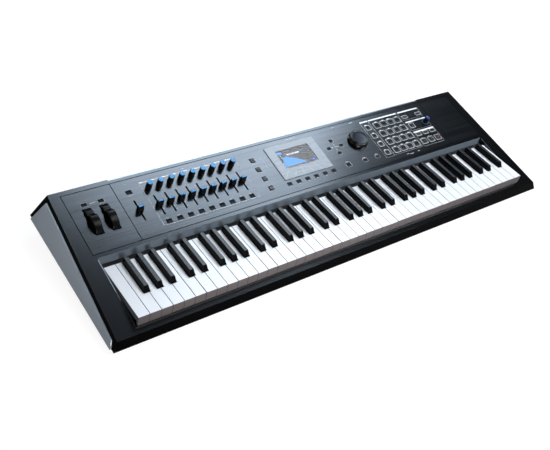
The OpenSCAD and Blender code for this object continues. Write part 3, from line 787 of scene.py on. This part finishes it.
DIAL_BODY = [
    (0, 0.8), (25, 0.8), (25, 3.8), (24.7, 4.6), (24.2, 5.2), (23.8, 5.8), (23.4, 7.8), (23.1, 9.8),
    (22.6, 10.9), (21.8, 11.5), (20.8, 11.6), (19.8, 11.35), (19.1, 10.95), (18.8, 10.5),
    (18.8, 9.8), (0, 9.8),
]
DIAL_DISH = [
    (0, 9.4), (18.95, 9.4), (18.9, 10.65), (18.2, 10.87), (17.2, 10.75), (16.2, 10.6),
    (10, 10.45), (5, 10.4), (0, 10.37),
]
x, v = deck_place("data_dial")
shape = Shape()
shape.lathe(DIAL_BODY, (x, v, 0), n=180, flutes=60, flute_depth=0.5, span=(5, 7))
shape.lathe(DIAL_DISH, (x, v, 0), n=96, slot=1)
shape.make(
    "data_dial_cap", "data_dial", ["dial", "dial_top"], replaces=["data_dial"],
    slot="dial_plastic", angle=40,
)

# ---------------------------------------------------------------- faders

FADER_SIDE = [
    (-5.0, 1.2), (5.0, 1.2), (5.0, 2.4), (4.3, 4.6), (3.5, 8.0), (2.8, 11.6), (2.35, 15.1),
    (-2.35, 15.1), (-2.8, 11.6), (-3.5, 8.0), (-4.3, 4.6), (-5.0, 2.4),
]
for body in ["master_fader"] + [f"fader_{i}" for i in range(1, 10)]:
    low, high = islands(body)[0]
    x, v = (low.x + high.x) / 2, (low.y + high.y) / 2
    shape = Shape()
    shape.prism(FADER_SIDE, -6.0, 6.0, turn=lambda a, b, h: (x + h, v + a, b))
    shape.box((x - 0.8, x + 0.8), (v - 3, v + 3), (-9, 1.6))
    shape.box((x - 5.7, x + 5.7), (v - 1.9, v + 1.9), (14.8, 15.38), slot=1)
    for k in range(4):
        z = 4.6 + 2.3 * k
        reach = 4.5 - 0.42 * (k + 0.3)
        for s in (-1, 1):
            ys = sorted((v + s * (reach - 0.6), v + s * (reach + 0.1)))
            shape.box((x - 5.2, x + 5.2), ys, (z, z + 0.7))
    shape.make(
        f"{body}_cap", body, ["knob", "blue"], bevel=0.3, replaces=[body], slot="fader_plastic",
    )

# ---------------------------------------------------------------- buttons

# The flange adds this much to the width and depth of each CAD button.
FLANGE = 1.8
TRANSPORT_FROM = 345


def button_boxes(node):
    """(x, v, width, depth) of each button cap of a CAD group, sorted."""
    found = []
    for low, high in islands(node):
        found.append(
            (
                round((low.x + high.x) / 2, 3),
                round((low.y + high.y) / 2, 3),
                high.x - low.x - FLANGE,
                high.y - low.y - FLANGE,
            )
        )
    return sorted(found)


CONTROL = button_boxes("control_buttons")
SCREEN = button_boxes("screen_buttons")
PADS = button_boxes("keypad_buttons")
KEYPAD = [b for b in PADS if b[0] < TRANSPORT_FROM]
TRANSPORT = [b for b in PADS if b[0] > TRANSPORT_FROM]
CAP_TOP = 1.3


def button_caps(name, boxes, split, finish):
    """Caps with dark windows: one over the share split of the depth, or two side by side."""
    group = f"{name}_buttons"
    caps, windows = Shape(), Shape()
    for x, v, w, l in boxes:
        caps.slab(x, v, w, l, -2, CAP_TOP, r=0.8)
        caps.slab(x, v, 3, 3, -7.6, -2, r=0.3)
        if split > 0:
            d = l * split
            windows.slab(
                x, v + l / 2 - d / 2 - 0.5, w - 1.4, d - 0.4, CAP_TOP - 0.5, CAP_TOP + 0.18, r=0.5,
            )
        else:
            for s in (-1, 1):
                windows.slab(
                    x + s * w * 0.21, v, w * 0.30, l * 0.42, CAP_TOP - 0.5, CAP_TOP + 0.15, r=0.4,
                )
    caps.make(f"{name}_caps", group, [finish], bevel=0.35, replaces=[group], slot="button_rubber")
    windows.make(f"{name}_windows", group, ["lens"], bevel=0.12, slot="button_rubber")


button_caps("control", CONTROL, 0.52, "rubber")
button_caps("screen", SCREEN, 0.0, "rubber_mid")
button_caps("keypad", PADS, 0.0, "rubber_mid")

# ---------------------------------------------------------------- printing on the panels

INK_LOW, INK_TOP = -0.03, 0.05
MASTER_X, MIXER_X = -407.5, -263.8
FADER_V, WHEEL_V = 225, 229.8
bright, dim = Shape(), Shape()
shade_strips = Shape()


def shade_strip(x0, x1, v0, v1):
    """Black strip, painted shade, over a groove or along an opening."""
    shade_strips.box((x0, x1), (v0, v1), (-1.5, 0.03))


SHEETS = ("wheel_panel", "main_panel", "right_panel")
panel_sides = [(DECK_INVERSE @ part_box(n)[k] / MM).x for n in SHEETS for k in (0, 1)]
PANEL_LENGTH = max((DECK_INVERSE @ p).y for p in PANEL_POINTS) / MM
STRIP_MARGIN = 0.35
# Dark strips along the joints and edges of the panel sheets: painted shade in the grooves.
for x0, x1 in ((panel_sides[0] - 0.8, panel_sides[0]), (panel_sides[1], panel_sides[2]),
               (panel_sides[3], panel_sides[4]), (panel_sides[5], panel_sides[5] + 0.8)):
    shade_strip(x0 - STRIP_MARGIN, x1 + STRIP_MARGIN, 160.3, PANEL_LENGTH + 0.6)
for v0, v1 in ((159.9, 160.7), (PANEL_LENGTH, PANEL_LENGTH + 0.8)):
    shade_strip(panel_sides[0] - 0.6, panel_sides[5] + 0.6, v0 - STRIP_MARGIN, v1 + STRIP_MARGIN)
# Dark rings and strips around the fader slots and the wheel openings: painted shade.
for x in [deck_place(f"knob_{i}")[0] for i in range(1, 10)] + [MASTER_X]:
    shade_strips.ring(x, FADER_V, 3.8, 51, 0.7, -0.5, 0.04, r=0.8)
    for s in (-1, 1):
        shade_strip(*sorted((x + s * 0.9, x + s * 1.3)), 200.6, 249.4)
for body in ("pitch_wheel", "mod_wheel"):
    x = JOINT[body]["pos_m"][0] / MM
    shade_strips.ring(x, WHEEL_V, 18.6, 63.4, 0.9, -0.5, 0.04, r=1.2)
# Outline around the knobs and faders, with a thick top bar.
bright.slab(MIXER_X, 286.4, 229.5, 3.0, INK_LOW, INK_TOP, r=1.0)
for x0 in (-378.3, -149.2):
    dim.slab(x0, 231.5, 0.9, 110, INK_LOW, INK_TOP, r=0.2)
dim.slab(MIXER_X, 176.4, 229, 0.9, INK_LOW, INK_TOP, r=0.2)


def dashes(shape, x, v, lengths, height=1.0, gap=1.1):
    """A row of short bars, centred at x, where the real panel has a word."""
    total = sum(lengths) + gap * (len(lengths) - 1)
    start = x - total / 2
    for w in lengths:
        shape.slab(start + w / 2, v, w, height, INK_LOW, INK_TOP, r=0.25)
        start += w + gap


# Dark rings around the buttons: painted shade in the gaps.
for x, v, w, l in CONTROL + SCREEN + PADS:
    shade_strips.ring(x, v, w + 1.9, l + 1.9, 0.75, -0.5, 0.04, r=1.2)
shade_strips.make("panel_painted_shade_strips", "case", ["black_and_painted_shade"], slot="bezel_plastic")
STRIP = [b for b in CONTROL if b[1] < 200]
for n, (x, v, w, l) in enumerate(STRIP):
    dashes(dim, x, v + l / 2 + 2.6, [2.6, 1.8] if n % 2 else [4.2])
    dashes(dim, x, 279.6, [3.4] if n % 2 else [1.6, 2.4], height=0.8)
    for t in range(5):
        for s in (-1, 1):
            dim.slab(x + s * 4.2, 205 + 10 * t, 1.6, 0.4, INK_LOW, INK_TOP, r=0.1)
WHEEL_BUTTONS = [b for b in CONTROL if b[0] < -440]
middle = sum(b[0] for b in WHEEL_BUTTONS) / 2
dim.slab(middle, WHEEL_BUTTONS[0][1], 14, 1.8, INK_LOW, INK_TOP, r=0.5)
for x, v, w, l in WHEEL_BUTTONS:
    dim.ring(x, v, w + 3.4, l + 3.4, 0.5, INK_LOW, INK_TOP, r=1.4)
dashes(dim, MASTER_X, 262, [5, 4], height=1.4)
dashes(dim, MASTER_X, 292, [2.4, 2.0], height=0.9)

MODE = [b for b in SCREEN if b[0] < -100]
SOFT = [b for b in SCREEN if b[1] < 186 and b[0] < 70]
CURSOR = [b for b in SCREEN if 220 < b[1] and b[0] > 60]
PAGE = [b for b in SCREEN if b[1] < 190 and b[0] > 90]
for x, v, w, l in MODE:
    dim.ring(x, v, w + 2.6, l + 2.6, 0.5, INK_LOW, INK_TOP, r=1.4)
for n, (x, v, w, l) in enumerate(SOFT):
    dashes(dim, x, v - l / 2 - 2.4, [3.2, 1.6] if n % 2 else [5.0], height=0.8)
dim.slab(-88, 266.6, 26, 0.5, INK_LOW, INK_TOP, r=0.1)
dim.slab(-88, 251, 0.5, 30, INK_LOW, INK_TOP, r=0.1)
cx = sum(b[0] for b in CURSOR) / len(CURSOR)
cv = sum(b[1] for b in CURSOR) / len(CURSOR)
bright.slab(cx, cv, 24, 0.5, INK_LOW, INK_TOP, r=0.1)
bright.slab(cx, cv, 0.5, 24, INK_LOW, INK_TOP, r=0.1)
for x, v, w, l in CURSOR + PAGE:
    dim.ring(x, v, w + 3.6, l + 3.6, 0.6, INK_LOW, INK_TOP, r=1.8)
for x, v, w, l in PAGE:
    dashes(bright, x, v + l / 2 + 3.2, [4.4, 2.2], height=0.9)
dashes(dim, 12, 297.2, [9, 5, 7, 4], height=1.1)
dashes(dim, MIXER_X, 294.0, [10, 6, 8], height=1.2)
dashes(bright, 139, 296.6, [3.0, 5.0], height=1.0)
dashes(bright, 196, 296.6, [2.4, 2.4, 4.0], height=1.0)

# Function blocks on the right: thin outlines with a thick bar on top.
BLOCKS = [(219.5, 245.7, 175, 290.2), (246.9, 342.4, 176, 290.2), (347.2, 417.6, 262.5, 290.2),
          (347.6, 418.4, 227.5, 256.4), (348.0, 419.4, 175, 222.6)]
for x0, x1, v0, v1 in BLOCKS:
    cx, cv = (x0 + x1) / 2, (v0 + v1) / 2
    dim.ring(cx, cv, x1 - x0, v1 - v0, 0.5, INK_LOW, INK_TOP, r=2.4)
    bright.slab(cx, v1 - 1.0, x1 - x0 - 1.4, 3.6, INK_LOW, INK_TOP + 0.02, r=1.1)
for n, (x, v, w, l) in enumerate(KEYPAD):
    bright.ring(x, v, w + 4.2, l + 4.0, 0.85, INK_LOW, INK_TOP, r=2.2)
    bright.slab(
        x + (2.2 if n % 3 else -2.2), v + l / 2 + 2.9, 6.4 if n % 2 else 4.4, 1.9, INK_LOW,
        INK_TOP, r=0.5,
    )
red = Shape()
for n, (x, v, w, l) in enumerate(TRANSPORT):
    bright.ring(x, v, w + 3.8, l + 3.8, 0.9, INK_LOW, INK_TOP, r=2.0)
    if v < 200 and x > 400:
        red.slab(x, v, 3.2, 3.2, CAP_TOP + 0.1, CAP_TOP + 0.22, r=1.6)
    elif v < 250:
        dashes(bright, x, v + l / 2 + 3.4, [3.0, 1.4] if n % 2 else [4.0], height=0.8)
for x0, w in ((285, 8), (297, 12), (322, 7)):
    bright.slab(x0, 168.5 if w < 12 else 166.5, w, 1.0, INK_LOW, INK_TOP, r=0.3)
# Thin strips of light metal along the inner edges of the key well: painted highlights.
glint = Shape()
for s in (-1, 1):
    glint.box(sorted((s * 531.8, s * 532.9)), (2, 148), (INK_LOW, INK_TOP))
glint.make("well_edge_painted_highlights", "case", ["edge"], slot="case_plastic")
bright.make("panel_print_bright", "case", ["print"], slot="panel_metal")
dim.make("panel_print_dim", "case", ["print_dim"], slot="panel_metal")
red.make("record_mark", "keypad_buttons", ["print_red"], slot="button_rubber")

# Light marks between the button windows.
marks = Shape()
for x, v, *_ in TRANSPORT[:-1]:
    marks.slab(x, v, 2.2, 0.9, CAP_TOP - 0.02, CAP_TOP + 0.06, r=0.2)
marks.make("transport_marks", "keypad_buttons", ["print_dim"], slot="button_rubber")
marks = Shape()
for x, v, w, l in MODE:
    marks.ring(x, v, w * 0.5, l * 0.5, 0.6, CAP_TOP - 0.02, CAP_TOP + 0.22, r=0.8)
marks.make("mode_marks", "screen_buttons", ["print_dim"], slot="button_rubber")

# Blue light ring at the foot of the tempo knob.
x, v = deck_place("tempo_knob")
shape = Shape()
shape.lathe(
    [(7.4, -0.02), (9.2, -0.02), (9.2, 0.35), (8.9, 0.55), (7.7, 0.55), (7.4, 0.35), (7.4, -0.02)],
    (x, v, 0), n=72,
)
shape.make("tempo_light_ring", "case", ["led"], slot="window_glass", angle=60)

# ---------------------------------------------------------------- display

bezel_low, bezel_high = islands("display_bezel")[0]
window_low, window_high = islands("display_window")[0]
bx, bv = (bezel_low.x + bezel_high.x) / 2, (bezel_low.y + bezel_high.y) / 2
bw, bl = bezel_high.x - bezel_low.x, bezel_high.y - bezel_low.y
wx, wv = (window_low.x + window_high.x) / 2, (window_low.y + window_high.y) / 2
ww, wl = window_high.x - window_low.x - 2, window_high.y - window_low.y - 2
shape = Shape()
shape.ring(bx, bv, bw - 0.8, bl - 0.8, 0, 0.02, 1.8, r=2.2, hole=(wx, wv, ww, wl))
shape.make(
    "bezel_frame", "case", ["bezel"], bevel=0.45, replaces=["display_bezel"], slot="bezel_plastic",
    angle=50,
)
# Dark ring just outside the bezel frame: painted shadow in the gap around it.
shape = Shape()
shape.ring(bx, bv, bw, bl, 1.6, -0.02, 0.5, r=2.6)
shape.make("bezel_painted_shadow_ring", "case", ["black_and_painted_shade"], slot="bezel_plastic", angle=50)
shape = Shape()
shape.slab(wx, wv, ww - 0.1, wl - 0.1, 0.85, 1.25, r=0.4)
shape.make(
    "display_glass", "case", ["glass"], replaces=["display_window"], slot="window_glass", angle=50,
)

screen = Shape()
sx0, sv0 = wx - ww / 2, wv - wl / 2


def patch(x0, x1, v0, v1, slot, level):
    """Flat patch of the picture, in shares of the window's width and depth."""
    screen.box((sx0 + ww * x0, sx0 + ww * x1), (sv0 + wl * v0, sv0 + wl * v1),
               (0.30, 0.50 + 0.03 * level), slot)


GROUND, BAND, BLUE, LINE, PALE, WARM = range(6)
patch(0.003, 0.997, 0.004, 0.996, GROUND, 0)
patch(0.003, 0.997, 0.86, 0.996, BAND, 1)
patch(0.0, 0.16, 0.80, 0.93, BLUE, 2)
patch(0, 1, 0.785, 0.80, LINE, 2)
patch(0, 1, 0.60, 0.615, LINE, 2)
for x0, x1 in ((0.22, 0.30), (0.34, 0.41), (0.50, 0.56), (0.62, 0.66), (0.80, 0.86)):
    patch(x0, x1, 0.89, 0.93, WARM, 2)
for x0, x1 in ((0.08, 0.09), (0.26, 0.34), (0.36, 0.40), (0.42, 0.49), (0.51, 0.64)):
    patch(x0, x1, 0.665, 0.735, PALE, 2)
BARS = [0.50, 0.51, 0.52, 0.52, 0.50, 0.44, 0.42, 0.36, 0.35, 0.29, 0.22, 0.17, 0.13, 0.10]
for n, share in enumerate(BARS):
    x0 = 0.08 + 0.042 * n
    patch(x0, x0 + 0.041, 0.09, 0.09 + share, BLUE, 2)
for n in range(12):
    x0 = 0.67 + 0.026 * n
    patch(x0, x0 + 0.025, 0.09, 0.10 + 0.010 * n, LINE, 2)
patch(0.0, 0.065, 0.09, 0.34, BLUE, 2)
for n in range(6):
    patch(0.03 + 0.165 * n, 0.14 + 0.165 * n, 0.02, 0.06, WARM, 2)
TICK_HALF = 0.35
ticks = Shape()
for n, x in enumerate(sorted(b[0] for b in SOFT)):
    start = wx + (x - wx) * 0.72
    foot, head = bezel_low.y + 2.5, window_low.y - (9.0 if n % 2 else 4.0)
    slope = (start - x) / (head - foot)
    reach = head - foot
    shift = slope * reach
    tick = [
        (x - TICK_HALF, foot),
        (x + TICK_HALF, foot),
        (x + TICK_HALF + shift, head),
        (x - TICK_HALF + shift, head),
    ]
    ticks.prism(tick, 1.7, 1.84)
ticks.make("bezel_ticks", "case", ["tick"], slot="bezel_plastic")
screen.make("display_picture", "case",
            ["screen", "screen_dark", "screen_blue", "screen_line", "screen_pale", "screen_warm"],
            slot="lcd_glass")

# ---------------------------------------------------------------- rear connectors

rear_points = [v.co for v in NODES["rear_panel"].data.vertices]
REAR_LEAN = math.radians(15.9)
REAR_NORMAL = Vector((0, math.cos(REAR_LEAN), math.sin(REAR_LEAN)))
REAR_UP = Vector((0, -math.sin(REAR_LEAN), math.cos(REAR_LEAN)))
rear_face = max(p.dot(REAR_NORMAL) for p in rear_points)


def rear_matrix(x, height):
    """Frame on the rear panel's outer face, its z out of the panel and its y up."""
    o = REAR_NORMAL * rear_face + REAR_UP * height + Vector((x, 0, 0))
    return Matrix(
        (
            (-1, 0, 0, o.x),
            (0, REAR_UP.y, REAR_NORMAL.y, o.y),
            (0, REAR_UP.z, REAR_NORMAL.z, o.z),
            (0, 0, 0, 1),
        )
    )


def jack_places():
    """(x, height up the rear panel, width), in metres, of each solid of the jack sockets."""
    bm = merged("jack_sockets")
    found = []
    for members in solids(bm):
        xs = [v.co.x for v in members]
        heights = [v.co.dot(REAR_UP) for v in members]
        width = max(xs) - min(xs)
        found.append(((min(xs) + max(xs)) / 2, (min(heights) + max(heights)) / 2, width))
    bm.free()
    return sorted(found)


JACK_WIDTH, JACK_SPREAD = 0.015, 0.0005
NUT_FLAT, NUT_BORE, NUT_HEIGHT, NUT_POINTS = 6.9, 5.6, 2.0, 48
nut_outer, nut_inner = [], []
for k in range(NUT_POINTS):
    a = TAU * k / NUT_POINTS
    r = NUT_FLAT / math.cos((a % (TAU / 6)) - TAU / 12)
    nut_outer.append((r * math.cos(a), r * math.sin(a)))
    nut_inner.append((NUT_BORE * math.cos(a), NUT_BORE * math.sin(a)))
nut = Shape()
nut.hoop(nut_outer, nut_inner, 0.0, NUT_HEIGHT)
nuts = Shape()
for x, height, width in jack_places():
    if abs(width - JACK_WIDTH) < JACK_SPREAD:
        m = rear_matrix(x, height)
        nuts.add([(m @ (p * MM)) / MM for p in nut.verts], nut.faces)
nuts.make(
    "jack_nuts", "case", ["steel"], matrix=Matrix.Identity(4), bevel=0.25, slot="screw_steel",
    angle=50,
)
